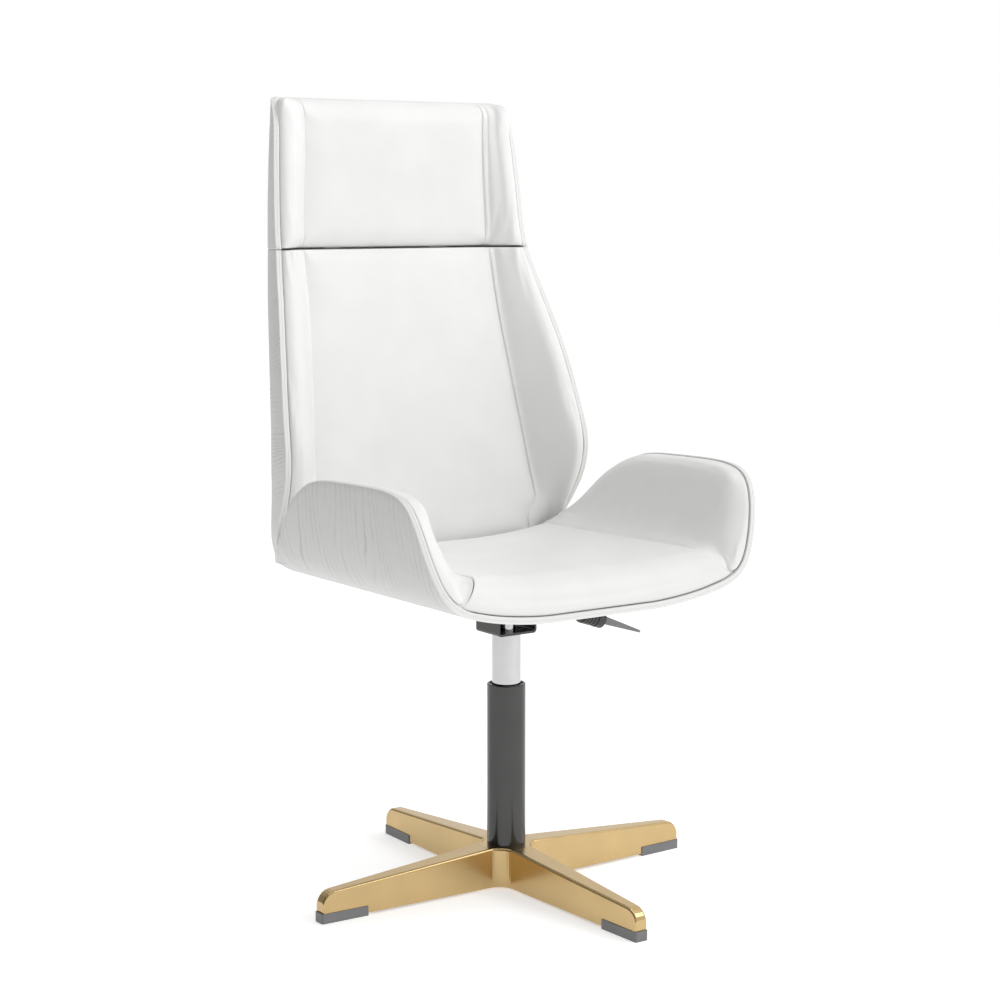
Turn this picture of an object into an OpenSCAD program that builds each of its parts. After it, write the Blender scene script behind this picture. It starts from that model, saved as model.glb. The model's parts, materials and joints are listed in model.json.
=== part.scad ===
// Swivel office chair: bent plywood shells with padded inserts on a four-legged
// cast base.  Millimetres, +Z up, the origin is on the column axis at the floor,
// the sitter faces -Y and the sitter's left hand is on +X.

/* [Base] */
// radius from the column axis to the end of each foot
base_r = 340; // [300:1:360]
// height of the legs where they leave the hub
hub_top = 66; // [60:1:72]
// height of the legs at their tips
tip_top = 46; // [36:1:50]
// width of a leg at the hub
leg_w_hub = 42; // [38:1:46]
// width of a leg at its tip
leg_w_tip = 20; // [18:1:24]

/* [Column] */
// outer diameter of the column tube
column_d = 60; // [56:1:64]
// height of the rim of the column tube above the floor
column_top = 320; // [310:1:330]
// outer diameter of the chrome lift cylinder
lift_d = 45; // [42:1:46]

/* [Seat] */
// height of the flat underside of the seat shell
seat_under = 463; // [461.5:0.5:464]
// thickness of the bent plywood shells
ply = 10; // [9:0.5:11]
// y of the front edge of the seat shell
seat_front = -246; // [-252:1:-240]
// y of the rear edge of the seat shell
seat_rear = 240; // [232:1:242]

/* [Back] */
// height of the lower edge of the back shell
back_low = 497; // [494:1:506]
// height of the joint between backrest and headrest
head_split = 985; // [980:1:990]
// height of the top edge of the headrest shell
back_top = 1222; // [1214:1:1226]
// open joint between the backrest shell and the headrest shell
split_gap = 2; // [1.5:0.5:3]

/* [Lever] */
// downward slope of the lever at rest, degrees
lever_slope = 18; // [16:1:20]

/* [Hidden] */

$fn = 64;
eps = 0.01;

gold = [0.80, 0.66, 0.38];
dark = [0.27, 0.27, 0.28];
chrome = [0.82, 0.83, 0.85];
steel = [0.60, 0.61, 0.63];
black = [0.09, 0.09, 0.10];
white = [0.93, 0.93, 0.93];
leather = [0.95, 0.95, 0.95];

// ---------- helpers ----------
function lerp(a, b, t) = a + (b - a) * t;
function mirror_x(p) = [-p[0], p[1]];
function reversed(l) = [for (i = [len(l) - 1:-1:0]) l[i]];
function crom(a, b, c, d, t) =
    0.5 * (2 * b + (c - a) * t + (2 * a - 5 * b + 4 * c - d) * t * t
           + (3 * b - a - 3 * c + d) * t * t * t);
// smooth curve through the points, n steps to a span
function spline(p, n) =
    [for (i = [0:len(p) - 2]) for (j = [0:n - 1])
        crom(p[max(i - 1, 0)], p[i], p[i + 1], p[min(i + 2, len(p) - 1)], j / n),
     p[len(p) - 1]];
// unit normal at point i of an open path, to the left of its direction
function left_of(p, i) =
    let (a = p[max(i - 1, 0)], b = p[min(i + 1, len(p) - 1)],
         d = b - a, l = norm(d)) [-d[1] / l, d[0] / l];
function shifted(p, d) = [for (i = [0:len(p) - 1]) p[i] + d * left_of(p, i)];

// solid through a stack of closed rings with the same even number of points; the
// first half of a ring lies opposite the second half, taken backward
module loft(rings) {
    n = len(rings[0]);
    m = len(rings);
    points = [for (r = rings) for (p = r) p];
    sides = [for (k = [0:m - 2]) for (i = [0:n - 1])
        let (a = k * n + i, b = k * n + (i + 1) % n)
            each [[a, a + n, b + n], [a, b + n, b]]];
    low_cap = [for (i = [0:n / 2 - 2]) each [[i, i + 1, n - 2 - i], [i, n - 2 - i, n - 1 - i]]];
    high_cap = [for (f = low_cap) [for (i = reversed(f)) (m - 1) * n + i]];
    polyhedron(points = points, faces = concat(sides, low_cap, high_cap), convexity = 8);
}

// flat shapes drawn in the XZ plane and run along Y, or in YZ and run along X
module along_y(y0, y1) {
    translate([0, y1, 0]) rotate([90, 0, 0]) linear_extrude(y1 - y0) children();
}
module along_x(x0, x1) {
    translate([x0, 0, 0]) rotate([90, 0, 90]) linear_extrude(x1 - x0) children();
}
module rod_y(d, y0, y1) {
    translate([0, y1, 0]) rotate([90, 0, 0]) cylinder(d = d, h = y1 - y0);
}

// ---------- base ----------
leg_low = 4;
leg_edge = 4;
sole = 5;
pad_len = 78;
pad_h = 15;
pad_wall = 1.4;
tip_round = 20;
hub_fill = 45;
hub_fillet = 27;
hub_proud = 0.05;
hub_bore = 22;
screw_ring = 20;
clear = 0.06;

function leg_half(r) = lerp(leg_w_hub, leg_w_tip, r / base_r) / 2;
function leg_top(r) =
    let (d = max(r - (base_r - 2 - tip_round), 0))
        lerp(hub_top, tip_top, max(r - hub_fill, 0) / (base_r - hub_fill))
        - tip_round + sqrt(max(tip_round * tip_round - d * d, 0));
// section of a leg at distance r along +Y, rounded along its two top edges
function leg_ring(r, low) =
    let (w = leg_half(r), t = leg_top(r), e = leg_edge)
        [for (p = concat([[-w, low]],
            [for (a = [0:15:90]) [-w + e - e * cos(a), t - e + e * sin(a)]],
            [for (a = [90:-15:0]) [w - e + e * cos(a), t - e + e * sin(a)]],
            [[w, low]])) [p[0], r, p[1]]];
leg_stations = concat([30, hub_fill, 120, 190, base_r - pad_len - 1],
    [for (a = [0:15:75]) base_r - 2 - tip_round + tip_round * sin(a)]);

module leg() {
    difference() {
        loft([for (r = leg_stations) leg_ring(r, leg_low)]);
        translate([-leg_w_hub, base_r - pad_len, 0]) cube([2 * leg_w_hub, pad_len + 10, sole]);
        // hollow underside between hub and foot
        along_x(-leg_half(150) + 5, leg_half(150) - 5)
            polygon([[60, -1], [60, hub_top - 8], [250, tip_top - 2], [250, -1]]);
    }
}

// plan of the hub between the legs, drawn in by d
function hub_plan(d) =
    [for (q = [0:3]) for (a = [180:10:270])
        let (c = hub_fill + 1, r = hub_fillet + d,
             x = c + r * cos(a), y = c + r * sin(a), t = -q * 90)
            [x * cos(t) - y * sin(t), x * sin(t) + y * cos(t)]];

module star_base() {
    color(gold) difference() {
        union() {
            for (q = [0:3]) rotate(q * 90) leg();
            loft([for (s = [[leg_low - 0.1, 0], [hub_top - leg_edge, 0],
                            [hub_top - leg_edge / 2, 0.55], [hub_top - 0.5, 2.2],
                            [hub_top + hub_proud, 4]])
                [for (p = reversed(hub_plan(s[1]))) [p[0], p[1], s[0]]]]);
        }
        translate([0, 0, -1]) cylinder(d = hub_bore, h = hub_top + 2);
        for (q = [0:3]) rotate(45 + q * 90) translate([screw_ring, 0, 0]) {
            translate([0, 0, -1]) cylinder(d = 11, h = 41);
            cylinder(d = 6.4, h = hub_top + 1);
        }
    }
}

module foot_pad() {
    r0 = base_r - pad_len;
    w0 = leg_half(r0) + pad_wall;
    w1 = leg_half(base_r) + pad_wall;
    color(dark) difference() {
        linear_extrude(pad_h) union() {
            polygon([[-w0, r0], [w0, r0], [w1, base_r - 3], [-w1, base_r - 3]]);
            translate([-w1 + 3, r0 + 1]) square([2 * w1 - 6, pad_len - 1]);
            for (s = [-1, 1]) translate([s * (w1 - 3), base_r - 3]) circle(r = 3);
        }
        translate([0, 0, -0.02]) loft([for (r = concat([base_r - pad_len - 1],
            [for (r = leg_stations) if (r > base_r - pad_len) r]))
            [for (p = leg_ring(r, sole)) [p[0] * 1.004, p[1] + 0.05, p[2]]]]);
    }
}
module foot_pad_rear() foot_pad();
module foot_pad_right() rotate(90) foot_pad();
module foot_pad_front() rotate(180) foot_pad();
module foot_pad_left() rotate(270) foot_pad();

// ---------- column and lift ----------
column_bore = column_d - 7;
plate_z = hub_top + 8;
rod_d = 10;
stub_d = 8;
washer_t = 1.5;
cage_t = 4;
upper_z = plate_z + washer_t + cage_t;
collar_z = upper_z + washer_t;
lift_low = 178;
lift_top = 400;
lift_bore = 38;
gland_t = 14;
piston_z = 203;
cone_top = 444;
cone_d0 = 28;
cone_d1 = 26.6;
pin_d = 6;
pin_top = 449;
bush_top = column_top - 1.5;

module column_tube() {
    color(dark) difference() {
        union() {
            translate([0, 0, hub_top + hub_proud])
                cylinder(d = column_d, h = column_top - hub_top - hub_proud - 1, $fn = 96);
            translate([0, 0, column_top - 1])
                cylinder(d1 = column_d, d2 = column_d - 2, h = 1, $fn = 96);
        }
        translate([0, 0, plate_z]) cylinder(d = column_bore, h = column_top, $fn = 96);
        translate([0, 0, hub_top - 1]) cylinder(d = stub_d + 2 * clear, h = 20);
        for (q = [0:3]) rotate(45 + q * 90) translate([screw_ring, 0, hub_top - 1])
            cylinder(d = 6, h = 8);
    }
}

module column_screws() {
    color(steel) for (q = [0:3]) rotate(45 + q * 90) translate([screw_ring, 0, 0]) {
        translate([0, 0, 34]) cylinder(d = 10, h = 6);
        translate([0, 0, 39]) cylinder(d = 5.9, h = hub_top + 7 - 40);
    }
}

module ring(d_out, d_in, z0, z1) {
    difference() {
        translate([0, 0, z0]) cylinder(d = d_out, h = z1 - z0);
        translate([0, 0, z0 - 1]) cylinder(d = d_in, h = z1 - z0 + 2);
    }
}

module guide_bush() {
    color(black) ring(column_bore - 0.1, lift_d + 2 * clear, bush_top - 36, bush_top);
}
module bearing_washer_lower() {
    color(steel) ring(24, stub_d + 1, plate_z, plate_z + washer_t);
}
module thrust_bearing() {
    color(steel) difference() {
        ring(23, stub_d + 1.4, plate_z + washer_t + 1, upper_z - 1);
        for (q = [0:7]) rotate(q * 45) translate([8.1, 0, 0]) cylinder(d = 4.3, h = 90);
    }
    color(chrome) for (q = [0:7]) rotate(q * 45)
        translate([8.1, 0, plate_z + washer_t + cage_t / 2]) sphere(d = cage_t - 0.02);
}
module bearing_washer_upper() {
    color(steel) ring(24, stub_d + 1, upper_z, collar_z);
}

module piston_rod() {
    color(chrome) difference() {
        union() {
            translate([0, 0, 59]) cylinder(d = stub_d, h = collar_z - 59 + eps);
            translate([0, 0, collar_z]) cylinder(d = 15, h = 4);
            translate([0, 0, collar_z + 3]) cylinder(d = rod_d, h = piston_z + 18 - collar_z - 3);
        }
        ring(stub_d + 1, stub_d - 2, 61.9, 63.3);
    }
}
module piston() {
    color(dark) ring(lift_bore - 2 * clear, rod_d, piston_z, piston_z + 16);
}
module bump_stop() {
    color(black) ring(22, rod_d, collar_z + 4, collar_z + 16);
}
module rod_washer() {
    color(steel) ring(18, stub_d + 0.2, 63.4, hub_top - 0.1);
}
module retaining_clip() {
    color(steel) difference() {
        ring(15, stub_d - 2, 62, 63.2);
        translate([0, -2.6, 60]) cube([10, 5.2, 5]);
    }
}

module lift_cylinder() {
    color(chrome) difference() {
        union() {
            translate([0, 0, lift_low]) cylinder(d = lift_d, h = lift_top - lift_low - 2, $fn = 96);
            translate([0, 0, lift_top - 2])
                cylinder(d1 = lift_d, d2 = lift_d - 4, h = 2, $fn = 96);
            translate([0, 0, lift_top - eps])
                cylinder(d1 = cone_d0, d2 = cone_d1, h = cone_top - lift_top + eps);
        }
        translate([0, 0, lift_low - 1]) cylinder(d = lift_bore, h = 380 - lift_low + 1);
        translate([0, 0, 420]) cylinder(d = pin_d + 2 * clear, h = 40);
    }
}
module rod_gland() {
    color(black) ring(lift_bore - 0.1, rod_d + 2 * clear, lift_low, lift_low + gland_t);
}
module release_pin() {
    color(steel) {
        translate([0, 0, 425]) cylinder(d = pin_d, h = pin_top - 3 - 425);
        intersection() {
            translate([0, 0, pin_top - 4.5]) sphere(d = 9);
            translate([0, 0, pin_top - 3.1]) cylinder(d = pin_d, h = 4);
        }
    }
}

// ---------- mechanism under the seat ----------
plate_t = 4;
plate_low = seat_under - plate_t;
bracket_half = 36;
bracket_t = 3.5;
bracket_len = 60;
bend = 6;
pivot_x = 26;
pivot_z = 451;
ear_y = 6.5;
ear_t = 3;

module cone_socket() {
    color(steel) difference() {
        translate([0, 0, 424]) cylinder(d = 36, h = plate_low - 424);
        translate([0, 0, lift_top])
            cylinder(d1 = cone_d0 + 0.06, d2 = cone_d1 + 0.06, h = cone_top - lift_top);
        translate([0, 0, cone_top - 1]) cylinder(d = cone_d1 - 1, h = 30);
        translate([0, -5.5, cone_top - 1]) cube([30, 11, 30]);
    }
}

// outline of the bent channel, closed over its top
module channel(grow, r) {
    w = bracket_half + grow;
    low = lift_top - grow;
    union() {
        translate([-w, low + r]) square([2 * w, 200]);
        translate([-w + r, low]) square([2 * (w - r), r + 1]);
        for (s = [-1, 1]) translate([s * (w - r), low + r]) circle(r = r);
    }
}
module seat_bracket() {
    color(dark) difference() {
        along_y(-bracket_len / 2, bracket_len / 2) intersection() {
            difference() {
                channel(0, bend);
                channel(-bracket_t, bend - bracket_t);
            }
            translate([-50, 390]) square([100, plate_low - 390]);
        }
        translate([0, 0, lift_top - 1]) cylinder(d = cone_d0 + 0.4, h = 10);
        translate([20, -6, 438]) cube([30, 12, 30]);
    }
}

plate_x = 90;
plate_y = 75;
plate_r = 14;
plate_bolts = [[-70, -55], [70, -55], [-70, 55], [70, 55]];
strap_x = 66;
strap_w = 36;
strap_t = 4;
strap_bolts = [for (s = [-1, 1]) for (y = [120, 190]) [s * strap_x, y]];
back_bolts_z = [540, 585];
splice_x = 100;
bolt_d = 6;
nut_d = 8;
flange_d = 18;
flange_t = 1.6;

module seat_plate() {
    color(dark) difference() {
        union() {
            translate([-plate_x, -plate_y + plate_r, plate_low])
                cube([2 * plate_x, 2 * (plate_y - plate_r), plate_t]);
            translate([-plate_x + plate_r, -plate_y, plate_low])
                cube([2 * (plate_x - plate_r), 2 * plate_y, plate_t]);
            for (x = [-1, 1]) for (y = [-1, 1])
                translate([x * (plate_x - plate_r), y * (plate_y - plate_r), plate_low])
                    cylinder(r = plate_r, h = plate_t);
            for (s = [-1, 1]) translate([pivot_x - 6, s * (ear_y + ear_t / 2) - ear_t / 2, 0]) {
                translate([0, 0, pivot_z]) cube([12, ear_t, plate_low + 1 - pivot_z]);
                translate([6, 0, pivot_z]) rod_y(12, 0, ear_t);
            }
        }
        translate([pivot_x, 0, pivot_z]) rod_y(5, -20, 20);
        for (b = plate_bolts) translate([b[0], b[1], plate_low - 1]) cylinder(d = 6.4, h = 8);
    }
}

// round-headed screw pointing up from z, and the nut let into the upper face
module up_screw(z, length) {
    translate([0, 0, z - 3.5]) cylinder(d1 = 9, d2 = 12, h = 3.5);
    translate([0, 0, z - 0.5]) cylinder(d = bolt_d - 0.1, h = length + 0.5);
}
module tee_nut() {
    difference() {
        union() {
            translate([0, 0, -8]) cylinder(d = nut_d, h = 8);
            translate([0, 0, -flange_t]) cylinder(d = flange_d, h = flange_t);
        }
        translate([0, 0, -10]) cylinder(d = bolt_d, h = 20);
    }
}
module tee_hole() {
    translate([0, 0, -20]) cylinder(d = nut_d + 0.02, h = 25);
    translate([0, 0, -flange_t - 0.2]) cylinder(d = flange_d + 0.4, h = 10);
}

seat_floor = seat_under + ply;
module seat_plate_screws() {
    color(steel) for (b = plate_bolts) translate([b[0], b[1], 0])
        up_screw(plate_low, plate_t + 8);
}
module seat_tee_nuts() {
    color(steel) for (b = concat(plate_bolts, strap_bolts))
        translate([b[0], b[1], seat_floor - 0.1]) tee_nut();
}
module seat_strap_screws() {
    color(steel) for (b = strap_bolts) translate([b[0], b[1], 0])
        up_screw(seat_under - strap_t, strap_t + 8);
}

// ---------- lever ----------
hub_d = 13;
grip_from = 107;
grip_len = 46;
collar_len = 15;
lever_reach = grip_from + grip_len + collar_len;
paddle_len = 80;

module lever_frame() {
    translate([pivot_x, 0, pivot_z]) rotate([0, lever_slope, 0]) rotate([0, 90, 0]) children();
}
module lever_pin() {
    color(steel) translate([pivot_x, 0, pivot_z]) rod_y(4.96, -11, 11);
}
module lever_rod() {
    color(dark) difference() {
        union() {
            translate([pivot_x, 0, pivot_z]) rod_y(hub_d, -5.9, 5.9);
            translate([-5, -4, pin_top + 0.06]) cube([pivot_x + 5, 8, 4]);
            lever_frame() cylinder(d = 8, h = lever_reach + 10);
        }
        translate([pivot_x, 0, pivot_z]) rod_y(4.96 + 2 * clear, -20, 20);
    }
}
module lever_grip() {
    ribs = 7;
    pitch = grip_len / ribs;
    color(dark) lever_frame() difference() {
        union() {
            for (i = [0:ribs - 1]) {
                r0 = lerp(7.5, 14, min(i / 3, 1));
                r1 = lerp(7.5, 14, min((i + 1) / 3, 1));
                translate([0, 0, grip_from + i * pitch])
                    cylinder(r1 = r0, r2 = r1, h = pitch * 0.72);
                translate([0, 0, grip_from + (i + 0.7) * pitch])
                    cylinder(r = r0 - 1, h = pitch * 0.32);
            }
            translate([0, 0, grip_from + grip_len]) cylinder(r = 14.5, h = collar_len - 2);
            translate([0, 0, grip_from + grip_len + collar_len - 2])
                cylinder(r1 = 14.5, r2 = 12.5, h = 2);
        }
        translate([0, 0, grip_from - 1]) cylinder(d = 8, h = grip_len + collar_len + 2);
    }
}
// flat paddle, thinner and wider toward its rounded end
module lever_paddle() {
    z0 = lever_reach;
    color(dark) lever_frame() difference() {
        intersection() {
            rotate([90, 0, 0]) translate([0, 0, -20]) linear_extrude(40)
                polygon([[-6.5, z0], [6.5, z0], [4.5, z0 + paddle_len], [1.5, z0 + paddle_len]]);
            translate([-20, 0, 0]) rotate([90, 0, 90]) linear_extrude(40) union() {
                polygon([[-9, z0], [9, z0], [14, z0 + paddle_len - 14],
                         [-14, z0 + paddle_len - 14]]);
                translate([0, z0 + paddle_len - 14]) circle(r = 14);
            }
        }
        translate([0, 0, z0 - 1]) cylinder(d = 8, h = 12);
    }
}

// ---------- seat shell ----------
// half of the section across the seat, lower face, from the middle outward
half_rise = [[0, 0], [60, 0], [100, 0], [140, 3], [186, 9.2], [226, 18.2], [244, 24],
             [258, 31.8], [273, 45], [284, 62], [294, 87], [302, 114], [308, 141],
             [312.5, 167], [316.5, 201]];
half_out = [for (p = half_rise) [p[0], p[1] + seat_under]];
flat_n = 2;
half_curve = concat([half_out[0]],
    spline([for (i = [flat_n:len(half_out) - 1]) half_out[i]], 4));
full_curve = concat([for (i = [len(half_curve) - 1:-1:1]) mirror_x(half_curve[i])], half_curve);
function floor_offset(d) = shifted(full_curve, d);
function half_offset(d) =
    let (n = len(half_curve) - 1, f = floor_offset(d)) [for (i = [n:2 * n]) f[i]];
// height of the face lying d above the lower face, at x
function face_z(x, d) =
    let (h = half_offset(d)) lookup(x, [for (p = h) [p[0], p[1]]]);

// side outline of the shell, from the front foot of the arm over to the rear
arm_line = [[seat_front, 496], [seat_front + 1, 508], [seat_front + 4, 525],
            [-238, 548], [-232, 576], [-225, 604], [-215, 628], [-202, 644],
            [-183, 654], [-157, 659], [-124, 660.5], [-90, 660.5], [-46, 659.5],
            [10, 657.5], [41, 653.5], [65, 647], [88, 636], [112, 622], [131, 607],
            [148, 590], [170, 566], [196, 541], [seat_rear - 12, 512], [seat_rear - 2, 502],
            [seat_rear, 494]];
arm_curve = spline(arm_line, 3);

module seat_shell() {
    color(white) difference() {
        intersection() {
            along_y(seat_front - 5, seat_rear + 5)
                polygon(concat(floor_offset(0), reversed(floor_offset(ply))));
            along_x(-400, 400) polygon(concat([[seat_front, 440]], arm_curve, [[seat_rear, 440]]));
        }
        for (b = concat(plate_bolts, strap_bolts))
            translate([b[0], b[1], seat_floor]) tee_hole();
    }
}

// ---------- seat pads ----------
pad_gap = 0.3;
pad_inset = 3;
seam_x = 211;
seam_z = 534;
pad_rear = 197;
arm_inset_curve = shifted(arm_curve, -pad_inset);

module seat_cushion() {
    n = len(half_curve) - 1;
    under = [for (p = floor_offset(ply + pad_gap)) if (abs(p[0]) < seam_x + 4) p];
    top_half = spline([[0, 523], [60, 523.6], [120, 526], [175, 531], [seam_x, seam_z]], 4);
    top = concat([for (i = [len(top_half) - 1:-1:1]) mirror_x(top_half[i])], top_half);
    color(leather) intersection() {
        along_y(-250, pad_rear) polygon(concat(under, reversed(top)));
        along_x(-300, 300) polygon(concat([[-240, 470]],
            spline([[-241, 476], [-243, 488], [-240, 503], [-229, 517], [-208, 527],
                    [-170, 533], [-110, 535], [0, 531], [120, 529], [pad_rear + 1, 529]], 4),
            [[pad_rear + 1, 470]]));
    }
}

// right-hand section of an arm pad: shell side, rolled rim, inner face, seam
module arm_section() {
    outside = [for (p = half_offset(ply + pad_gap)) if (p[0] > seam_x + 5) p];
    inside = spline([[294, 655], [283, 654], [274, 645], [269.5, 628], [265.5, 605],
                     [259, 582], [248, 560], [232, 543], [seam_x + 0.5, seam_z]], 4);
    polygon(concat(outside, inside, [[seam_x + 4.5, face_z(seam_x + 4.5, ply + pad_gap) + 0.1]]));
}
module arm_pad_left() {
    color(leather) intersection() {
        along_y(-250, pad_rear) arm_section();
        along_x(150, 330) polygon(concat([[seat_front + pad_inset, 470]], arm_inset_curve,
            [[seat_rear - pad_inset, 470]]));
    }
}
module arm_pad_right() mirror([1, 0, 0]) arm_pad_left();

// ---------- back shells ----------
// height, half width, y of the wing edge, y of the rear face, corner proportion
back_stations = [
    [480, 268, 248, 259.3, 0.66], [520, 275, 236, 265.7, 0.66], [548, 280.5, 217, 270.1, 0.66],
    [580, 285, 197, 275.2, 0.64], [608, 287.6, 181.5, 279.7, 0.62],
    [640, 289.4, 172.5, 286.5, 0.62], [662, 289.8, 171, 290, 0.63],
    [689, 288, 174, 294, 0.65], [722, 284.3, 183.5, 299, 0.67],
    [760, 280, 194.5, 305, 0.68], [834, 269, 217.5, 321.5, 0.66],
    [909, 254.8, 247, 340, 0.62], [966, 243.3, 271, 351.5, 0.62],
    [1015, 238.2, 284, 354.5, 0.67], [1061, 235.8, 289.5, 354, 0.69],
    [1138, 231, 297, 351.5, 0.73], [1192, 226, 304, 348.5, 0.74], [1240, 221, 311, 347, 0.74]];
function back_at(z) =
    let (k = max([for (i = [0:len(back_stations) - 2]) if (back_stations[i][0] <= z) i]),
         a = back_stations[max(k - 1, 0)], b = back_stations[k], c = back_stations[k + 1],
         d = back_stations[min(k + 2, len(back_stations) - 1)],
         t = (z - b[0]) / (c[0] - b[0])) crom(a, b, c, d, t);
arc_steps = 12;
// half of the face lying d inside the outer face, from the wing edge to the middle
function wing_half(z, d, n = arc_steps) =
    let (s = back_at(z), b = s[3] - s[2], a = b * s[4])
        [for (i = [0:n]) let (t = 90 * i / n)
            [s[1] - a + max(a - d, 2) * cos(t), s[2] + max(b - d, 2) * sin(t)]];
function wing_face(z, d) =
    let (h = wing_half(z, d))
        concat([for (p = h) mirror_x(p)], reversed(h));
function at_z(path, z) = [for (p = path) [p[0], p[1], z]];
function shell_ring(z) = at_z(concat(reversed(wing_face(z, 0)), wing_face(z, ply)), z);
function steps(a, b, n) = [for (i = [0:n]) lerp(a, b, i / n)];

strap_top = 608;
strap_gap = 0.5;
strap_y0 = back_at(back_low)[3];
strap_y1 = back_at(strap_top)[3];
lean = atan((strap_y1 - strap_y0) / (strap_top - back_low));
function strap_y(z) = lerp(strap_y0, strap_y1, (z - back_low) / (strap_top - back_low));

module corner_mask(z_round, r, half, up) {
    // outline seen from the front with two corners rounded
    z_end = z_round + (up ? 1 : -1) * 800;
    along_y(100, 450) union() {
        translate([-400, min(z_end, z_round + (up ? r : -r))]) square([800, 800 - r]);
        translate([-half + r, min(z_round, z_round + (up ? r + 1 : -r - 1))])
            square([2 * (half - r), r + 1]);
        for (s = [-1, 1]) translate([s * (half - r), z_round + (up ? r : -r)]) circle(r = r);
    }
}
// splice plates run in a shallow bed in the inner faces, d is the clearance
module splice_bed(x, d) {
    zs = steps(head_split - 55 - d, head_split + 55 + d, 10);
    along_x(x - 15 - d, x + 15 + d) polygon(concat(
        [for (z = zs) [back_at(z)[3] - ply - (d > 0 ? 1 : -0.1), z]],
        [for (z = reversed(zs)) [back_at(z)[3] - ply + 3 + d, z]]));
}
module splice_plate(x) {
    color(steel) difference() {
        splice_bed(x, 0);
        for (dz = [-42, -20, 20, 42]) translate([x, 0, head_split + dz]) rod_y(4.2, 300, 400);
    }
}
module splice_plate_left() splice_plate(splice_x);
module splice_plate_right() splice_plate(-splice_x);
module splice_screws() {
    color(steel) for (x = [-splice_x, splice_x]) for (dz = [-42, -20, 20, 42])
        let (z = head_split + dz, y = back_at(z)[3] - ply)
            translate([x, 0, z]) rod_y(4, y + 0.6, y + 8);
}
module splice_cuts() {
    for (x = [-splice_x, splice_x]) {
        splice_bed(x, 0.15);
        for (dz = [-42, -20, 20, 42])
            let (z = head_split + dz, y = back_at(z)[3] - ply)
                translate([x, 0, z]) rod_y(4.04, y - 1, y + 8.2);
    }
}

module back_tee_pose(x, z) {
    translate([x, strap_y(z), z]) rotate([-lean, 0, 0]) rotate([90, 0, 0]) children();
}
module back_shell() {
    color(white) difference() {
        intersection() {
            loft([for (z = concat(steps(back_low, 700, 14), steps(720, head_split - split_gap / 2, 14)))
                shell_ring(z)]);
            corner_mask(back_low, 42, back_at(back_low + 20)[1], true);
        }
        splice_cuts();
        for (x = [-strap_x, strap_x]) for (z = back_bolts_z) back_tee_pose(x, z)
            translate([0, 0, ply - 0.3]) tee_hole();
    }
}
module headrest_shell() {
    color(white) difference() {
        intersection() {
            loft([for (z = steps(head_split + split_gap / 2, back_top, 14)) shell_ring(z)]);
            corner_mask(back_top, 42, back_at(back_top - 20)[1] + 1, false);
        }
        splice_cuts();
    }
}

// ---------- straps between seat and back ----------
module back_strap(x) {
    r_in = 7;
    z_in = seat_under - strap_t;
    // inner line: under the seat, round the bend, up behind the back shell
    y_bend = strap_y(seat_under + r_in) + strap_gap - r_in / cos(lean);
    path_in = concat([[88, seat_under]],
        [for (a = [-90:10:-lean]) [y_bend + r_in * cos(a), seat_under + r_in + r_in * sin(a)]],
        [[strap_y(strap_top) + strap_gap, strap_top]]);
    path_out = concat([[88, z_in]],
        [for (a = [-90:10:-lean]) let (r = r_in + strap_t)
            [y_bend + r * cos(a), seat_under + r_in + r * sin(a)]],
        [[strap_y(strap_top) + strap_gap + strap_t / cos(lean), strap_top]]);
    color(dark) difference() {
        along_x(x - strap_w / 2, x + strap_w / 2) polygon(concat(path_out, reversed(path_in)));
        for (b = strap_bolts) translate([b[0], b[1], z_in - 1]) cylinder(d = 6.4, h = 10);
        for (z = back_bolts_z) back_tee_pose(x, z) translate([0, 0, -10]) cylinder(d = 6.4, h = 12);
    }
}
module back_strap_left() back_strap(strap_x);
module back_strap_right() back_strap(-strap_x);
module back_strap_screws() {
    color(steel) for (x = [-strap_x, strap_x]) for (z = back_bolts_z) back_tee_pose(x, z)
        up_screw(-strap_t - strap_gap, strap_t + 8);
}
module back_tee_nuts() {
    color(steel) for (x = [-strap_x, strap_x]) for (z = back_bolts_z) back_tee_pose(x, z)
        translate([0, 0, ply - 0.4]) tee_nut();
}

// ---------- back pads ----------
// height, y of the front face, x of the side seam
face_stations = [[480, 198, 216], [530, 205, 212], [634, 227, 204], [686, 237.5, 198.5],
    [720, 245, 194], [776, 256.5, 189], [868, 276, 181], [941, 292, 177], [987, 304, 176],
    [1014, 306.5, 173.8], [1077, 308, 170.7], [1139, 308, 168.6], [1173, 308, 168],
    [1240, 309, 168]];
function face_y(z) = lookup(z, [for (s = face_stations) [s[0], s[1]]]);
function face_x(z) = lookup(z, [for (s = face_stations) [s[0], s[2]]]);
rim_w = 18;
rim_up = 6;
edge_roll = 10;
// how far the face is drawn back close to the ends of a pad
function roll_back(z, z0, z1) =
    let (d = max(min(z - z0, z1 - z), 0), r = edge_roll)
        d >= r ? 0 : r - sqrt(r * r - (r - d) * (r - d));
function pad_front(z, back) =
    let (s = back_at(z), w = s[1] - ply - pad_gap, e = s[2] - rim_up, y = face_y(z), x = face_x(z),
         rim = w - rim_w)
        [for (p = spline([[w, s[2] - 1], [w - 5, e + 1.5], [rim, e],
                          [lerp(x, rim, 0.5), lerp(y, e, 0.42)], [x, y]], 4))
            [p[0], p[1] + back * min((w - p[0]) / 6, 1)]];
function pad_ring(z, z0, z1) =
    let (front = pad_front(z, roll_back(z, z0, z1)),
         rear = wing_half(z, ply + pad_gap, len(front) - 1))
        at_z(concat(rear, [for (p = reversed(rear)) mirror_x(p)],
                    [for (p = front) mirror_x(p)], reversed(front)), z);
function pad_heights(z0, z1, n) =
    concat([z0, z0 + 2, z0 + 5], steps(z0 + edge_roll, z1 - edge_roll, n), [z1 - 5, z1 - 2, z1]);

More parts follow.
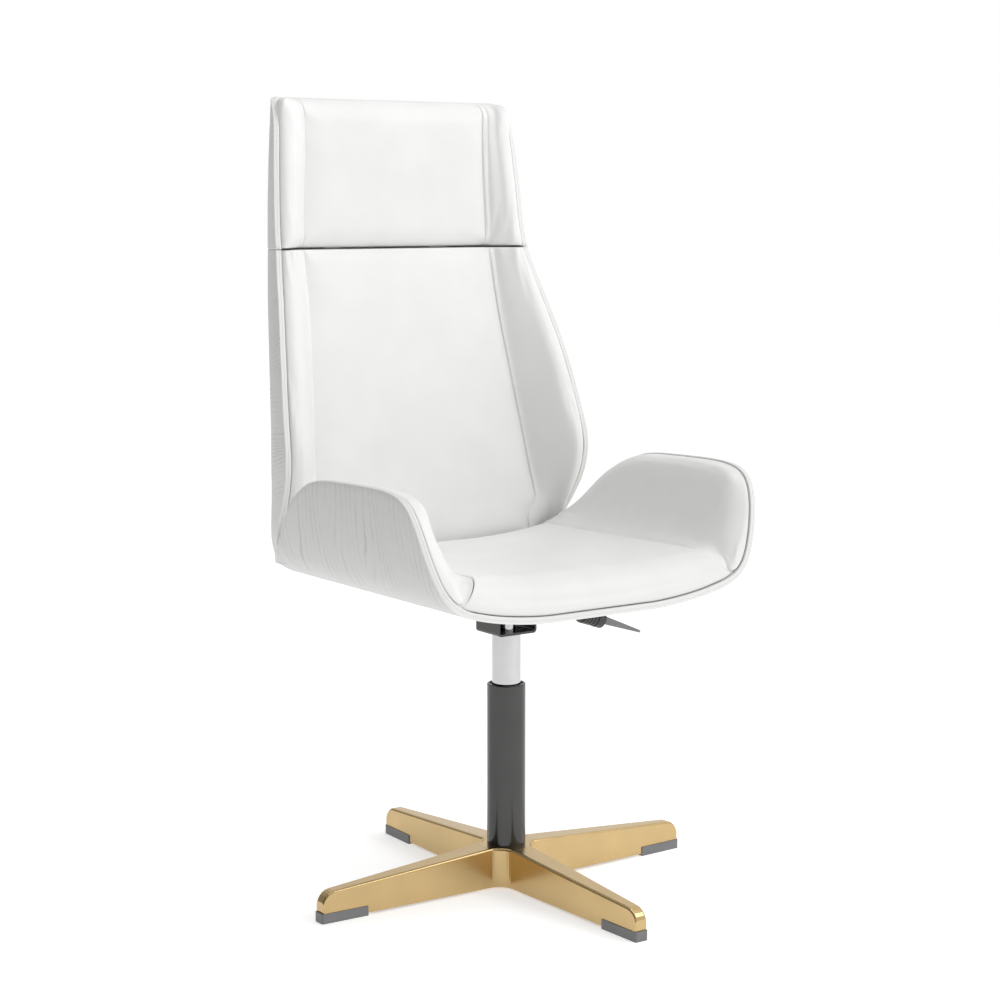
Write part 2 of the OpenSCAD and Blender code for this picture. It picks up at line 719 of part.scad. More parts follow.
pad_low = 500;
pad_split = 1.5;
module back_cushion() {
    z1 = head_split - pad_split;
    color(leather) intersection() {
        loft([for (z = pad_heights(pad_low - 1.5, z1, 20)) pad_ring(z, pad_low - 1.5, z1)]);
        corner_mask(pad_low, 38, back_at(back_low + 20)[1] - ply - 2, true);
    }
}
module headrest_cushion() {
    z0 = head_split + pad_split;
    z1 = back_top - 2;
    color(leather) intersection() {
        loft([for (z = pad_heights(z0, z1 + 1.5, 10)) pad_ring(z, z0, z1 + 1.5)]);
        corner_mask(z1, 36, back_at(back_top - 20)[1] - ply, false);
    }
}

star_base();
foot_pad_front();
foot_pad_rear();
foot_pad_left();
foot_pad_right();
column_tube();
column_screws();
guide_bush();
bearing_washer_lower();
thrust_bearing();
bearing_washer_upper();
piston_rod();
piston();
bump_stop();
rod_washer();
retaining_clip();
lift_cylinder();
rod_gland();
release_pin();
cone_socket();
seat_bracket();
seat_plate();
seat_plate_screws();
seat_tee_nuts();
lever_pin();
lever_rod();
lever_grip();
lever_paddle();
seat_shell();
seat_cushion();
arm_pad_left();
arm_pad_right();
back_strap_left();
back_strap_right();
seat_strap_screws();
back_strap_screws();
back_tee_nuts();
back_shell();
back_cushion();
splice_plate_left();
splice_plate_right();
splice_screws();
headrest_shell();
headrest_cushion();
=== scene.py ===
"""High-backed swivel chair: bent plywood shells, padded inserts, gas lift, gilt four-legged base.

Metres, in the frame of the CAD model: +Z up, the sitter faces -Y, the sitter's left is +X.
Shells and pads are rebuilt from rays cast at their CAD solids; the other nodes are carried over.
"""

import json
import math

import bmesh
import bpy
import numpy as np
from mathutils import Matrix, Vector
from mathutils.bvhtree import BVHTree


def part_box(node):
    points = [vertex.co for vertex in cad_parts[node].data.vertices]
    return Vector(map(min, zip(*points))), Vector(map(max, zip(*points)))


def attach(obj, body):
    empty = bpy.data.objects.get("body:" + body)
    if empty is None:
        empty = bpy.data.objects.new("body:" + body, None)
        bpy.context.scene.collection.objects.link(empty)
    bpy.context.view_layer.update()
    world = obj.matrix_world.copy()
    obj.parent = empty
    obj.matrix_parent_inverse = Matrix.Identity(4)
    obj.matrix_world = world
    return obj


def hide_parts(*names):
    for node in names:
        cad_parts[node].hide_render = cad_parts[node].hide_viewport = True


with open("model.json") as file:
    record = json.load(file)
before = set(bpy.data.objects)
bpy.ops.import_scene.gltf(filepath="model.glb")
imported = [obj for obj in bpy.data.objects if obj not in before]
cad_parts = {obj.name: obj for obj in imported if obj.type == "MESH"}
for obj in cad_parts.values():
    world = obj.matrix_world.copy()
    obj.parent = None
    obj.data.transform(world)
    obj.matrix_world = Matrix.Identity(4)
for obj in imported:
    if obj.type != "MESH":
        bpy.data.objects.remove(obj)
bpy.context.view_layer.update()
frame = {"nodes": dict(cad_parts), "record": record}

MM = 0.001
X_AXIS = Vector((1, 0, 0))
Y_AXIS = Vector((0, 1, 0))
Z_AXIS = Vector((0, 0, 1))
REACH = 0.8  # a ray starts this far off, outside the whole chair


# ---------- measuring the CAD nodes ----------

def tree_of(node):
    mesh = frame["nodes"][node].data
    return BVHTree.FromPolygons([v.co for v in mesh.vertices], [p.vertices for p in mesh.polygons])


def ray_hit(tree, start, direction):
    return tree.ray_cast(Vector(start), direction)[0]


def last_true(test, low, high, steps=22):
    """The largest value between low and high for which test holds, where test turns false once."""
    for _ in range(steps):
        middle = (low + high) / 2
        low, high = (middle, high) if test(middle) else (low, middle)
    return low


def lerp(a, b, t):
    return a + (b - a) * t


def smoothstep(t):
    t = min(max(t, 0.0), 1.0)
    return t * t * (3 - 2 * t)


def travel(points):
    """Length along a polyline from its start to each point."""
    return np.concatenate([[0], np.cumsum(np.linalg.norm(np.diff(points, axis=0), axis=1))])


def resampled(points, count):
    """count points at even distances along a polyline."""
    points = np.asarray(points, float)
    ends = travel(points)
    wanted = np.linspace(0, ends[-1], count)
    return np.stack([np.interp(wanted, ends, points[:, i]) for i in range(points.shape[1])], 1)


def relaxed(points, passes):
    """A polyline with its inner points drawn toward their neighbours."""
    points = np.array(points, float)
    for _ in range(passes):
        points[1:-1] = 0.5 * points[1:-1] + 0.25 * (points[:-2] + points[2:])
    return points


# ---------- meshes ----------

def new_object(name, verts, faces, materials, face_materials=None):
    mesh = bpy.data.meshes.new(name)
    mesh.from_pydata([tuple(v) for v in verts], [], faces)
    for material in materials:
        mesh.materials.append(material)
    mesh.polygons.foreach_set("use_smooth", [True] * len(mesh.polygons))
    if face_materials is not None:
        mesh.polygons.foreach_set("material_index", face_materials)
    mesh.validate()
    piece = bpy.data.objects.new(name, mesh)
    bpy.context.scene.collection.objects.link(piece)
    return piece


def border(rows, columns):
    """Row and column of each point on the border of a grid, in turn."""
    return ([(0, c) for c in range(columns)] + [(r, columns - 1) for r in range(1, rows)]
            + [(rows - 1, c) for c in range(columns - 2, -1, -1)]
            + [(r, 0) for r in range(rows - 2, 0, -1)])


def closed_solid(name, front, back, rings, materials, rim_material=0):
    """Two grids of the same size joined by rings of points around their borders."""
    rows, columns = front.shape[:2]
    size = rows * columns
    edge = [r * columns + c for r, c in border(rows, columns)]
    verts = np.concatenate([front.reshape(-1, 3), back.reshape(-1, 3), *rings])
    faces = []
    for r in range(rows - 1):
        for c in range(columns - 1):
            a = r * columns + c
            faces.append((a, a + 1, a + columns + 1, a + columns))
            faces.append((size + a, size + a + columns, size + a + columns + 1, size + a + 1))
    flat = len(faces)
    loops = [edge] + [[2 * size + i * len(edge) + k for k in range(len(edge))]
                      for i in range(len(rings))] + [[size + e for e in edge]]
    for one, two in zip(loops[:-1], loops[1:]):
        for k in range(len(edge)):
            n = (k + 1) % len(edge)
            faces.append((one[n], one[k], two[k], two[n]))
    face_materials = [0] * flat + [rim_material] * (len(faces) - flat)
    return new_object(name, verts, faces, materials, face_materials)


def baked(piece):
    """Applies the piece's modifiers."""
    bpy.context.view_layer.update()
    depsgraph = bpy.context.evaluated_depsgraph_get()
    mesh = bpy.data.meshes.new_from_object(piece.evaluated_get(depsgraph))
    piece.modifiers.clear()
    old = piece.data
    piece.data = mesh
    bpy.data.meshes.remove(old)
    piece.data.name = piece.name
    return piece


def subdivided(piece, levels=1):
    finer = piece.modifiers.new("finer", "SUBSURF")
    finer.levels = finer.render_levels = levels
    return baked(piece)


def face_outward(piece):
    """Turns the faces outward if the whole solid came out inside out."""
    solid = bmesh.new()
    solid.from_mesh(piece.data)
    if solid.calc_volume(signed=True) < 0:
        bmesh.ops.reverse_faces(solid, faces=solid.faces)
        solid.to_mesh(piece.data)
    solid.free()
    return piece


# ---------- bent shells ----------

HOLE_STEP = 6 * MM
ROLL = 0.3  # about the distance of a shell from its line, so that angles unroll to lengths
PLY = 10 * MM
EDGE_ROUND = 1.4 * MM
SHY = 0.3 * MM  # rays stay this far inside the ends of a solid
# the groove in the edge band: a share of the way over the band, and how many millimetres deep
EDGE_GROOVE = ((0.3, 0), (0.42, 0), (0.46, 0.2), (0.5, 0.7), (0.54, 0.2), (0.58, 0), (0.7, 0))


def cubic(a, b, c, d, t):
    return 0.5 * (2 * b + (c - a) * t + (2 * a - 5 * b + 4 * c - d) * t * t
                  + (3 * b - a - 3 * c + d) * t ** 3)


def rolled(distance, height, depth):
    """How far a face has drawn back where it is this near to an end that rolls over."""
    t = 1 - np.clip(np.asarray(distance) / height, 0, 1)
    return depth * (1 - np.sqrt(1 - t * t))


class Lattice:
    """Smooth function of two variables through evenly spaced values."""

    def __init__(self, values, low, high):
        self.values = values
        self.low = np.array(low, float)
        self.step = (np.array(high, float) - self.low) / (np.array(values.shape) - 1)

    def at(self, u, v):
        found = (np.array((u, v)) - self.low) / self.step
        shape = np.array(self.values.shape)
        base = np.clip(np.floor(found).astype(int), 0, shape - 2)
        t = found - base
        rows = [min(max(base[0] + i, 0), shape[0] - 1) for i in (-1, 0, 1, 2)]
        columns = [min(max(base[1] + i, 0), shape[1] - 1) for i in (-1, 0, 1, 2)]
        lines = [cubic(*self.values[r, columns], t[1]) for r in rows]
        return cubic(*lines, t[0])


def evened(outline, low, high, half_columns, passes=500):
    """Half of an unrolled shell as an even grid between its middle line and its outline."""
    rows = len(outline)
    grid = np.zeros((rows, half_columns + 1, 2))
    t = np.linspace(0, 1, half_columns + 1)[None, :, None]
    middle = np.stack([np.zeros(rows), np.linspace(low, high, rows)], 1)
    grid[:] = middle[:, None] * (1 - t) + outline[:, None] * t
    for _ in range(passes):
        inner = 0.25 * (grid[:-2, 1:-1] + grid[2:, 1:-1] + grid[1:-1, :-2] + grid[1:-1, 2:])
        grid[1:-1, 0, 1] = 0.25 * (grid[:-2, 0, 1] + grid[2:, 0, 1] + 2 * grid[1:-1, 1, 1])
        grid[1:-1, 1:-1] = inner
    return grid


class Wrap:
    """A bent shell seen from a line in front of it, by an angle from ahead and a place along."""

    def __init__(self, node, foot, along, ahead, clean=None, longer=(0.0, 0.0), corner=0.0):
        self.tree = tree_of(node)
        self.clean = clean  # a place whose section holds all along the shell, if there is one
        self.foot = foot
        self.along = along
        self.ahead = ahead
        low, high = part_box(node)
        self.low = low.dot(along)
        self.high = high.dot(along)
        self.longer = longer  # how far the sheet runs on past the solid, at its low and high ends
        self.corner = corner  # radius of the corner at its high end, measured in the sheet
        self.radii = self.measured(49, 41)

    def direction(self, angle):
        return self.ahead * math.cos(angle) + X_AXIS * math.sin(angle)

    def within(self, place):
        return min(max(place, self.low + SHY), self.high - SHY)

    def covers(self, angle, place):
        start = self.foot + self.along * place
        return self.tree.ray_cast(start, self.direction(angle))[0] is not None

    def edge_angle(self, place):
        return last_true(lambda a: self.covers(a, place), 0.02, math.pi / 2)

    def radius(self, angle, place):
        """Distance to the outer face, bridging the screw holes in it."""
        d = self.direction(angle)
        for aside in (0, HOLE_STEP, -HOLE_STEP, 2 * HOLE_STEP):
            inside = self.within(self.clean if self.clean is not None else place + aside)
            start = self.foot + self.along * inside + d * REACH
            hit, normal, _, _ = self.tree.ray_cast(start, -d)
            if hit and abs(normal.dot(d)) > 0.3:
                return (hit - self.foot - self.along * inside).length
        raise ValueError(f"no shell at {angle}, {place}")

    def measured(self, angles, places):
        """Distances of the outer face on a lattice, carried on smoothly past the outline."""
        place_list = np.linspace(self.low, self.high, places)
        edges = [self.edge_angle(self.clean or self.within(p)) for p in place_list]
        widest = max(edges)
        table = np.zeros((angles, places))
        fullest = int(np.argmax(edges))
        for j in [*range(fullest, places), *range(fullest - 1, -1, -1)]:
            beside = min(max(j + (1 if j < fullest else -1), 0), places - 1)
            for i, angle in enumerate(np.linspace(0, widest, angles)):
                if angle < edges[j] * 0.985:
                    table[i, j] = self.radius(angle, place_list[j])
                elif j == fullest:
                    table[i, j] = 2 * table[i - 1, j] - table[i - 2, j]
                else:  # past the outline, as bent as its neighbour
                    table[i, j] = table[i - 1, j] + table[i, beside] - table[i - 1, beside]
        if self.corner:  # the section holds on up past where the rounded corner begins
            whole = int(np.searchsorted(place_list, self.high - 1.2 * self.corner)) - 1
            slope = (table[:, whole] - table[:, whole - 4]) / 4
            for j in range(whole + 1, places):
                table[:, j] = table[:, whole] + slope * (j - whole)
        for _ in range(2):
            table[1:-1] = 0.5 * table[1:-1] + 0.25 * (table[:-2] + table[2:])
            table[:, 1:-1] = 0.5 * table[:, 1:-1] + 0.25 * (table[:, :-2] + table[:, 2:])
        return Lattice(table, (0, self.low), (widest, self.high))

    def point(self, across, place, side=1):
        """Point of the outer face, from its place in the unrolled shell."""
        angle = across / ROLL
        far = self.radii.at(abs(angle), place)
        p = self.foot + self.along * place + self.direction(angle) * far
        return Vector((p.x * side, p.y, p.z))

    def normal(self, across, place, side=1):
        step = 2 * MM
        u = self.point(across + step, place) - self.point(max(across - step, 0), place)
        v = self.point(across, place + step) - self.point(across, place - step)
        n = u.cross(v).normalized()
        if n.dot(self.direction(across / ROLL)) < 0:
            n = -n
        return Vector((n.x * side, n.y, n.z))

    def inside(self, across, place, length):
        """Place in the unrolled shell a length inward of another, measured along the section."""
        step = 0.25 * MM
        here = self.point(across, place)
        while length > 0 and across > step:
            across -= step
            there = self.point(across, place)
            length -= (there - here).length
            here = there
        return across

    def outline(self, count, inset=0.0):
        """The edge on the +X side in the unrolled shell, from the low end to the high end."""
        turn = np.linspace(0, math.pi, 400)
        places = lerp(self.low, self.high, (1 - np.cos(turn)) / 2)
        places[0] += 0.05 * MM
        places[-1] -= 0.05 * MM
        line = np.array([(self.edge_angle(p) * ROLL, p) for p in places])
        if self.corner:
            below = line[line[:, 1] < self.high - self.corner]
            slope = (below[-1, 0] - below[-40, 0]) / (below[-1, 1] - below[-40, 1])
            for i in range(len(below), len(line)):
                place = line[i, 1]
                tip = below[-1, 0] + slope * (place - below[-1, 1])
                cut = rolled(self.high - place, self.corner, self.corner)
                line[i, 0] = self.inside(tip, place, cut)
        edge = relaxed(resampled(line, count), 1)
        edge[0, 1] = self.low
        edge[-1, 1] = self.high
        along = np.gradient(edge, axis=0)
        along /= np.linalg.norm(along, axis=1)[:, None]
        inner = edge + inset * np.stack([-along[:, 1], along[:, 0]], 1)
        inner[0, 1] = self.low + inset - self.longer[0]
        inner[-1, 1] = self.high - inset + self.longer[1]
        return inner

    def sheet(self, rows, half_columns, inset=0.0):
        """Points and outward normals of the outer face on a grid that ends at the outline."""
        flat = evened(self.outline(rows, inset), self.low + inset - self.longer[0],
                      self.high - inset + self.longer[1], half_columns)
        points = np.zeros((rows, 2 * half_columns + 1, 3))
        normals = np.zeros_like(points)
        for k in range(rows):
            for j in range(-half_columns, half_columns + 1):
                across, place = flat[k, abs(j)]
                side = -1 if j < 0 else 1
                points[k, half_columns + j] = self.point(across, place, side)
                normals[k, half_columns + j] = self.normal(across, place, side)
        return points, normals


def outward(points, normals):
    """For the border of a grid: the direction in the surface that leads off it."""
    edge = border(*points.shape[:2])
    p = np.array([points[i] for i in edge])
    n = np.array([normals[i] for i in edge])
    along = np.roll(p, -1, axis=0) - np.roll(p, 1, axis=0)
    away = np.cross(along, n)
    away /= np.linalg.norm(away, axis=1)[:, None]
    middle = points.shape[1] // 2
    if away[middle].dot(points[0, middle] - points[1, middle]) < 0:
        away = -away
    return p, n, away


def bent_shell(node, wrap, rows, half_columns, materials):
    """Plywood shell of even thickness with softened edges; the second material is its edge."""
    points, normals = wrap.sheet(rows, half_columns, EDGE_ROUND)
    p, n, away = outward(points, normals)
    rings = []
    for deep, sense in ((0, 1), (PLY, -1)):
        turns = np.radians((30, 60, 90) if sense > 0 else (90, 60, 30))
        rings += [p - n * (deep + sense * EDGE_ROUND) + EDGE_ROUND * (
            sense * n * math.cos(a) + away * math.sin(a)) for a in turns]
    groove = [lerp(rings[2], rings[3], t) - away * deep * MM for t, deep in EDGE_GROOVE]
    rings = rings[:3] + groove + rings[3:]
    piece = closed_solid("bent_" + node, points, points - normals * PLY, rings, materials, 1)
    face_outward(piece)
    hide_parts(node)
    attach(piece, "seat")
    return piece


# ---------- padded inserts ----------

GAP = 1.3 * MM  # open joint between a shell and its pad
SEAM_HALF = 0.35 * MM
CLOTH_FRAMES = 20


def spline(controls, steps):
    """Smooth curve through the control points, steps points to a span."""
    c = np.asarray(controls, float)
    out = []
    for i in range(len(c) - 1):
        a, d = c[max(i - 1, 0)], c[min(i + 2, len(c) - 1)]
        out += [cubic(a, c[i], c[i + 1], d, j / steps) for j in range(steps)]
    return np.array(out + [c[-1]])


def plumped(piece, held, cap):
    """Blows a pad up as cloth between its held points, by no more than cap, and refines it."""
    count = len(piece.data.vertices)
    pins = piece.vertex_groups.new(name="pins")
    pins.add([int(i) for i in np.flatnonzero(held)] + list(range(held.size, count)), 1, "ADD")
    before = np.empty(count * 3)
    piece.data.vertices.foreach_get("co", before)
    cloth = piece.modifiers.new("cloth", "CLOTH")
    settings = cloth.settings
    settings.quality = 6
    settings.mass = 0.15
    settings.tension_stiffness = settings.compression_stiffness = 12
    settings.bending_stiffness = 0.4
    settings.use_pressure = True
    settings.uniform_pressure_force = 4
    settings.effector_weights.gravity = 0
    settings.vertex_group_mass = "pins"
    cloth.collision_settings.use_collision = False
    cloth.point_cache.frame_start = 1
    cloth.point_cache.frame_end = CLOTH_FRAMES
    scene = bpy.context.scene
    for step in range(1, CLOTH_FRAMES + 1):
        scene.frame_set(step)
    baked(piece)
    scene.frame_set(1)
    after = np.empty_like(before)
    piece.data.vertices.foreach_get("co", after)
    move = (after - before).reshape(-1, 3)
    length = np.linalg.norm(move, axis=1)
    move *= (np.minimum(length, cap) / np.maximum(length, 1e-9))[:, None]
    piece.data.vertices.foreach_set("co", before + move.ravel())
    piece.vertex_groups.clear()
    return subdivided(piece)


def held_border(front, first_rows, last_rows, first_columns, last_columns):
    """Marks the points that the cloth doesn't move, these many lines in from each border."""
    held = np.zeros(front.shape[:2], bool)
    held[:first_rows] = held[-last_rows:] = True
    held[:, :first_columns] = held[:, -last_columns:] = True
    return held


class BackPad:
    """Pad of the backrest or the headrest: a middle panel between two bolsters."""

    RIM = 19 * MM
    SEAM_COLUMN = 44  # where the bolster's points end and the panel's begin
    UNSOUND = 46 * MM  # the shell's tips aren't read this near a free end
    CLOTH_CAP = 2.2 * MM

    def __init__(self, node, wrap, low_roll, high_roll):
        self.wrap = wrap
        self.tree = tree_of(node)
        self.inner = {}  # inner face of the shell at each height, across and back
        low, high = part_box(node)
        self.low, self.high = low.z, high.z
        self.low_roll, self.high_roll = low_roll, high_roll  # (height, depth) of the rolled ends
        steps = np.linspace(self.low + 1 * MM, self.high - 1 * MM, 33)
        if wrap.corner:
            sound = np.clip(steps, self.low + 3 * MM, self.high - self.UNSOUND)
        else:
            sound = np.clip(steps, self.low + self.UNSOUND, 1)
        tips = [wrap.point(wrap.edge_angle(z) * ROLL, z) for z in sound]  # of the wings beside it
        self.heights = steps
        self.half = relaxed([t.x - PLY - GAP for t in tips], 2)
        self.edge = relaxed([t.y for t in tips], 2)
        middle = np.clip(steps, self.low + 12 * MM, self.high - 12 * MM)
        self.face = relaxed([self.front(0, z) for z in middle], 3)
        seam = relaxed([last_true(lambda x: self.front(x, z) > f - 0.5 * MM, 0.10, 0.26)
                        for z, f in zip(middle, self.face)], 4)
        clear = steps > self.low + 40 * MM
        self.seam = np.interp(steps, steps[clear], seam[clear])

    def front(self, x, z):
        hit = ray_hit(self.tree, (x, -REACH, z), Y_AXIS)
        return hit.y if hit else 9.0

    def rear(self, x, z):
        hit = ray_hit(self.tree, (x, REACH, z), -Y_AXIS)
        if hit and z < self.high - self.wrap.corner:
            return hit.y - 1.5 * MM
        if z not in self.inner:
            widest = self.wrap.edge_angle(self.high - 1.3 * self.wrap.corner) * ROLL
            found = [self.wrap.point(a, z) - self.wrap.normal(a, z) * (PLY + GAP)
                     for a in np.linspace(0, widest, 60)]
            self.inner[z] = ([p.x for p in found], [p.y for p in found])
        return float(np.interp(abs(x), *self.inner[z]))

    def at(self, table, z):
        return float(np.interp(z, self.heights, table))

    def half_section(self, z, cut):
        """From the joint with the shell to the middle; cut is what a rounded corner takes off."""
        w = self.at(self.half, z)
        e = self.at(self.edge, z)
        f = self.at(self.face, z)
        s = self.at(self.seam, z)
        rim = w - self.RIM
        controls = [(w, e + 12 * MM), (w, e + 3 * MM), (w - 0.8 * MM, e - 1.2 * MM),
                    (w - 4 * MM, e - 4.2 * MM), (w - 0.55 * self.RIM, e - 5.8 * MM),
                    (rim, e - 5.0 * MM),
                    (lerp(rim, s, 0.25), lerp(e, f, 0.16)), (lerp(rim, s, 0.60), lerp(e, f, 0.58)),
                    (s + 9 * MM, lerp(f, e, 0.07)), (s + 3 * MM, f - 0.4 * MM),
                    (s + 0.9 * MM, f + 0.3 * MM), (s, f + 2.4 * MM)]
        side = spline(controls, 4)
        panel = [(s - in_by * MM, f + back_by * MM)
                 for in_by, back_by in ((0.5, 1.8), (1.1, 0.2), (2.5, -0.3))]
        panel += [(lerp(s - 8 * MM, 0, t), f - 0.5 * MM) for t in np.linspace(0, 1, 12)]
        run = travel(side)
        wanted = cut + run * (run[-1] - cut) / run[-1]
        side = np.stack([np.interp(wanted, run, side[:, i]) for i in (0, 1)], 1)
        if cut:
            side[:, 1] += rolled(wanted - cut, 7 * MM, min(cut, 8 * MM))
        return np.concatenate([side, panel])

    def row(self, z):
        near_low, near_high = z - self.low, self.high - z
        back = rolled(near_low, *self.low_roll) + rolled(near_high, *self.high_roll)
        w = self.at(self.half, z)
        cut = float(rolled(near_high, 36 * MM, 36 * MM)) if self.wrap.corner else 0.0
        points = self.half_section(z, cut)
        drawn = back * np.clip((w - points[:, 0]) / (22 * MM), 0.12, 1)
        points[:, 1] += drawn
        half = [(x, y, z) for x, y in points]
        return half + [(-x, y, z) for x, y, _ in reversed(half[:-1])]

    def levels(self, count):
        """Heights of the rows, closer together toward the rolled ends."""
        def end(roll):
            turns = np.radians(np.arange(0, 90, 15))
            return (1 - np.cos(turns)) * roll[0]
        low = self.low + end(self.low_roll)
        high = (self.high - end(self.high_roll))[::-1]
        middle = np.linspace(self.low + self.low_roll[0], self.high - self.high_roll[0], count)
        return np.concatenate([low, middle, high])

    def build(self, name, count, materials):
        levels = self.levels(count)
        front = np.array([self.row(z) for z in levels])
        back = front.copy()
        for r, z in enumerate(levels):
            for c in range(front.shape[1]):
                x = front[r, c, 0]
                rear = self.rear(x * 0.97, min(max(z, self.low + MM), self.high - 3 * MM))
                back[r, c, 0] = x * 0.985
                back[r, c, 1] = max(rear, front[r, c, 1] + 3 * MM)
        held = held_border(front, 2, 2, 9, 9)
        held[:, [self.SEAM_COLUMN, -1 - self.SEAM_COLUMN]] = True
        piece = face_outward(closed_solid(name, front, back, [], materials))
        return plumped(piece, held, self.CLOTH_CAP)


class SeatForm:
    """Shared lines of the seat pad and the arm pads, taken from their CAD solids."""

    SEAM_TOP = 538 * MM   # the seam between seat and arm, at the front
    SEAM_LOW = 501 * MM   # where it runs out at the shell
    FRONT_DEPTH = 32 * MM
    FLARE = 35 * MM       # how much the front of the seat widens as it turns down
    LIFT = 3 * MM         # how far the front roll ends above the shell
    SIDE_ROLL = (4 * MM, 2.3 * MM)  # width and depth of the seat's edge at the seam
    BACK_ROLL = (14 * MM, 22 * MM)

    def __init__(self):
        self.shell = tree_of("seat_shell")
        low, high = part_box("seat_cushion")
        self.front = low.y
        self.back = high.y
        self.seam = high.x
        self.start = self.front + self.FRONT_DEPTH
        self.z_arm = np.linspace(self.SEAM_TOP - 3 * MM, 640 * MM, 40)
        arm = tree_of("arm_pad_left")
        self.x_arm = relaxed([ray_hit(arm, (0, -0.05, z), X_AXIS).x for z in self.z_arm], 2)
        steps = np.hypot(np.diff(self.x_arm), np.diff(self.z_arm))
        self.u_arm = np.concatenate([[0], np.cumsum(steps)])
        self.slope = (self.x_arm[-1] - self.x_arm[-6]) / (self.z_arm[-1] - self.z_arm[-6])

    def arm_x(self, z):
        if z > self.z_arm[-1]:
            return self.x_arm[-1] + (z - self.z_arm[-1]) * self.slope
        if z < self.z_arm[0]:
            return self.seam + (self.z_arm[0] - z) * self.FLARE / (self.z_arm[0] - self.SEAM_LOW)
        return float(np.interp(z, self.z_arm, self.x_arm))

    def arm_u(self, z):
        """Length along the section of the inner face, up from the seam."""
        if z > self.z_arm[-1]:
            return self.u_arm[-1] + (z - self.z_arm[-1]) * math.hypot(1, self.slope)
        return float(np.interp(z, self.z_arm, self.u_arm))

    def arm_point(self, y, u):
        if u > self.u_arm[-1]:
            z = self.z_arm[-1] + (u - self.u_arm[-1]) / math.hypot(1, self.slope)
        else:
            z = float(np.interp(u, self.u_arm, self.z_arm))
        return Vector((self.arm_x(z), y, z))

    def seam_half(self, turn):
        """Half width of the seat pad where its front has turned down by this angle."""
        return self.seam + self.FLARE * (1 - math.cos(turn))

    def seam_point(self, turn, y=None):
        """Point of the seam of seat and arm, at a turn of the front roll or behind it, at y."""
        half = self.seam_half(turn)
        top, floor = self.top(self.seam, y), self.floor(half) + self.LIFT
        ahead = self.start - (self.FRONT_DEPTH - 2 * MM) * math.sin(turn)
        z = floor + (top - floor - self.SIDE_ROLL[1]) * math.cos(turn)
        return Vector((half, ahead if y is None else y, z))

    def top(self, x, y=None):
        """Height of the dished seat, which rises a little toward its front."""
        t = min(abs(x) / self.seam, 1.0)
        rise = 1.0 if y is None else smoothstep((0.15 - y) / (0.15 - self.start))
        dish = lerp(self.SEAM_TOP - 19 * MM, self.SEAM_TOP - 6 * MM, t ** 2.6)
        return dish + rise * 5.5 * MM

    def floor(self, x):
        """Height of the shell's inner face."""
        return ray_hit(self.shell, (x, 0, self.SEAM_TOP), -Z_AXIS).z + 0.4 * MM


def seat_pad(form, materials):
    """Dished pad whose front rolls down to the shell and whose sides end at the seams."""
    half_count = 34
    turns = np.radians(np.linspace(0, 90, 19))
    ys = np.linspace(form.back - 14 * MM, form.start, 42)
    rows = [("flat", form.back), ("flat", form.back - 3 * MM), ("flat", form.back - 7 * MM)]
    rows += [("flat", y) for y in ys[:-1]] + [("turn", a) for a in turns] + [("end", 0.0)]
    across = np.linspace(0, 1, half_count + 1) ** 0.8
    across = np.concatenate([across[:-2], [0.972, 0.985, 0.993, 1.0]])
    front = np.zeros((len(rows), 2 * len(across) - 1, 3))
    back = np.zeros_like(front)
    middle = len(across) - 1
    for r, (kind, value) in enumerate(rows):
        turn = value if kind == "turn" else (math.pi / 2 if kind == "end" else 0.0)
        half = form.seam_half(turn) - SEAM_HALF
        for c, t in enumerate(across):
            x = half * t
            top, floor = form.top(x, value if kind == "flat" else None), form.floor(x)
            drop = float(rolled(half - x, *form.SIDE_ROLL))
            if kind == "flat":
                y = value
                z = top - drop - rolled(form.back - y, *form.BACK_ROLL)
            else:
                y = form.start - (form.FRONT_DEPTH - 1 * MM) * math.sin(turn)
                z = floor + form.LIFT + (top - floor - form.LIFT - drop) * math.cos(turn)
                if kind == "end":
                    z = floor
                    y += 0.7 * MM
                y += drop * math.sin(turn)
            for side in (1, -1):
                front[r, middle + side * c] = (side * x, y, z)
                under = y if kind == "flat" else y + 4 * MM
                back[r, middle + side * c] = (side * x, under, floor)
    back[-1, :, 1] += 6 * MM
    piece = face_outward(closed_solid("padded_seat", front, back, [], materials))
    return plumped(piece, held_border(front, 3, 4, 3, 3), 3 * MM)


FLARE_END = 70 * MM  # the seam leaves the front roll after this much of the joint
FIXED_COLUMNS = 7    # columns of the wall and the nose, which aren't smoothed


def arm_line(form, wrap):
    """The joint of an arm pad with the shell, from the front to the back: its points, the
    direction (y, z) off it into the pad, and the length travelled."""
    line = []
    for across, place in wrap.outline(400, 2 * MM):
        p = wrap.point(across, place) - wrap.normal(across, place) * (PLY + 1.3 * GAP)
        line.append((p.x, p.y, p.z))
    line = np.array(line)
    line = line[(line[:, 2] > form.SEAM_LOW + 2 * MM) & (line[:, 1] < form.back - 2 * MM)]
    line = relaxed(resampled(line, 110), 1)
    along = np.gradient(line[:, 1:], axis=0)
    along /= np.linalg.norm(along, axis=1)[:, None]
    inward = np.stack([along[:, 1], -along[:, 0]], 1)
    if inward[len(line) // 2][1] > 0:
        inward = -inward
    return line, inward, travel(line)


